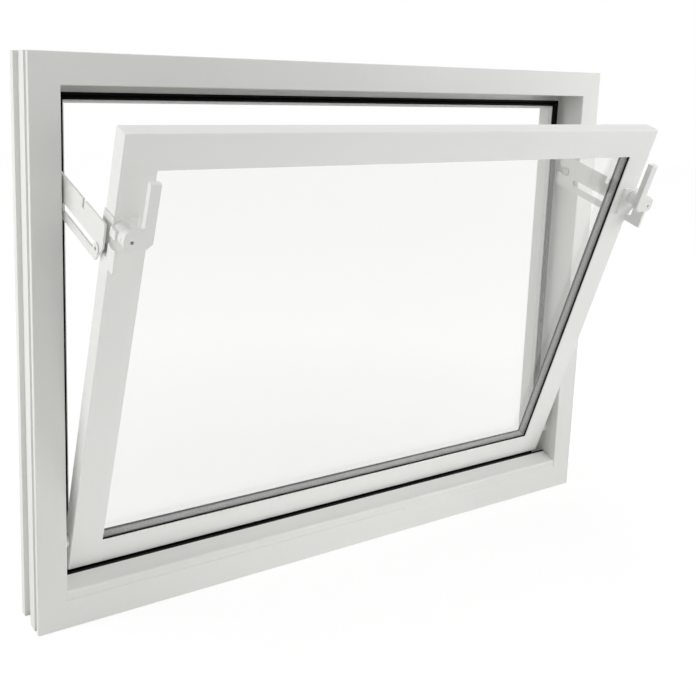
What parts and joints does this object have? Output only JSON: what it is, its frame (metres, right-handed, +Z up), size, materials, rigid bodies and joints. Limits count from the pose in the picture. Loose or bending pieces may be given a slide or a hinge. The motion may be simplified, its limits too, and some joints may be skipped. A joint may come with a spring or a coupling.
{
  "type": "hopper window",
  "caption": "Bottom-hung white PVC hopper window with double glazing, tilted inwards on slotted stays, with lever latches on the stiles.",
  "frame": {"origin": "middle of the flat ridge under the frame's sill", "axes": "+X to the right seen from the room, +Y outdoors, +Z up"},
  "size_m": [0.8, 0.2088, 0.6],
  "materials": {
    "frame_pvc": "white extruded PVC, satin",
    "sash_pvc": "white extruded PVC, satin",
    "gasket_rubber": "black extruded sealing rubber",
    "pane_glass": "clear float glass",
    "spacer_bar": "matt grey spacer bar of rolled aluminium",
    "stay_steel": "white powder coat on pressed steel",
    "latch_white": "white enamelled die casting",
    "pin_steel": "zinc-plated turned steel"
  },
  "bodies": {
    "frame": {"frame_head": "frame_pvc", "frame_left_jamb": "frame_pvc", "frame_right_jamb": "frame_pvc", "frame_sill": "frame_pvc", "left_hinge_pin": "pin_steel", "left_stay_pivot": "pin_steel", "rebate_gasket_head": "gasket_rubber", "rebate_gasket_left": "gasket_rubber", "rebate_gasket_right": "gasket_rubber", "right_hinge_pin": "pin_steel", "right_stay_pivot": "pin_steel", "sill_bead": "frame_pvc", "sill_gasket": "gasket_rubber"},
    "sash": {"glazing_bead_bottom_rail": "sash_pvc", "glazing_bead_left_stile": "sash_pvc", "glazing_bead_right_stile": "sash_pvc", "glazing_bead_top_rail": "sash_pvc", "glazing_gasket_bottom_rail": "gasket_rubber", "glazing_gasket_left_stile": "gasket_rubber", "glazing_gasket_right_stile": "gasket_rubber", "glazing_gasket_top_rail": "gasket_rubber", "inner_pane": "pane_glass", "left_latch_catch": "latch_white", "left_latch_plate": "latch_white", "left_stay_stud": "pin_steel", "outer_pane": "pane_glass", "right_latch_catch": "latch_white", "right_latch_plate": "latch_white", "right_stay_stud": "pin_steel", "sash_bottom_rail": "sash_pvc", "sash_left_stile": "sash_pvc", "sash_right_stile": "sash_pvc", "sash_top_rail": "sash_pvc", "spacer_bottom_rail": "spacer_bar", "spacer_left_stile": "spacer_bar", "spacer_right_stile": "spacer_bar", "spacer_top_rail": "spacer_bar"},
    "left_lever": {"left_lever": "latch_white"},
    "left_stay": {"left_stay_arm": "stay_steel"},
    "left_stay_rivet": {"left_stay_rivet": "stay_steel"},
    "right_lever": {"right_lever": "latch_white"},
    "right_stay": {"right_stay_arm": "stay_steel"},
    "right_stay_rivet": {"right_stay_rivet": "stay_steel"}
  },
  "joints": [
    {"name": "sash_tilt", "type": "hinge", "parent": "frame", "child": "sash", "pos_m": [0, 0.007, 0.08659], "axis": [1, 0, 0], "range_deg": [-18.4, 0]},
    {"name": "left_stay_swing", "type": "hinge", "parent": "frame", "child": "left_stay", "pos_m": [-0.3648, -0.0002, 0.46462], "axis": [1, 0, 0], "range_deg": [0, 72.6]},
    {"name": "left_rivet_slide", "type": "slide", "parent": "left_stay", "child": "left_stay_rivet", "axis": [0, -0.9542, -0.299], "range_m": [-0.0865, 0]},
    {"name": "left_lever_turn", "type": "hinge", "parent": "sash", "child": "left_lever", "pos_m": [-0.3514, -0.14385, 0.43647], "axis": [0, 0.9489, 0.3156], "range_deg": [0, 90]},
    {"name": "right_stay_swing", "type": "hinge", "parent": "frame", "child": "right_stay", "pos_m": [0.3648, -0.0002, 0.46462], "axis": [1, 0, 0], "range_deg": [0, 72.6]},
    {"name": "right_rivet_slide", "type": "slide", "parent": "right_stay", "child": "right_stay_rivet", "axis": [0, -0.9542, -0.299], "range_m": [-0.0865, 0]},
    {"name": "right_lever_turn", "type": "hinge", "parent": "sash", "child": "right_lever", "pos_m": [0.3514, -0.14385, 0.43647], "axis": [0, -0.9489, -0.3156], "range_deg": [0, 90]}
  ],
  "couplings": [
    {"joint": "left_stay_swing", "follows": "sash_tilt", "ratio": -3.9457},
    {"joint": "left_rivet_slide", "follows": "sash_tilt", "m_per_rad": 0.26913},
    {"joint": "right_stay_swing", "follows": "sash_tilt", "ratio": -3.9457},
    {"joint": "right_rivet_slide", "follows": "sash_tilt", "m_per_rad": 0.26913}
  ]
}
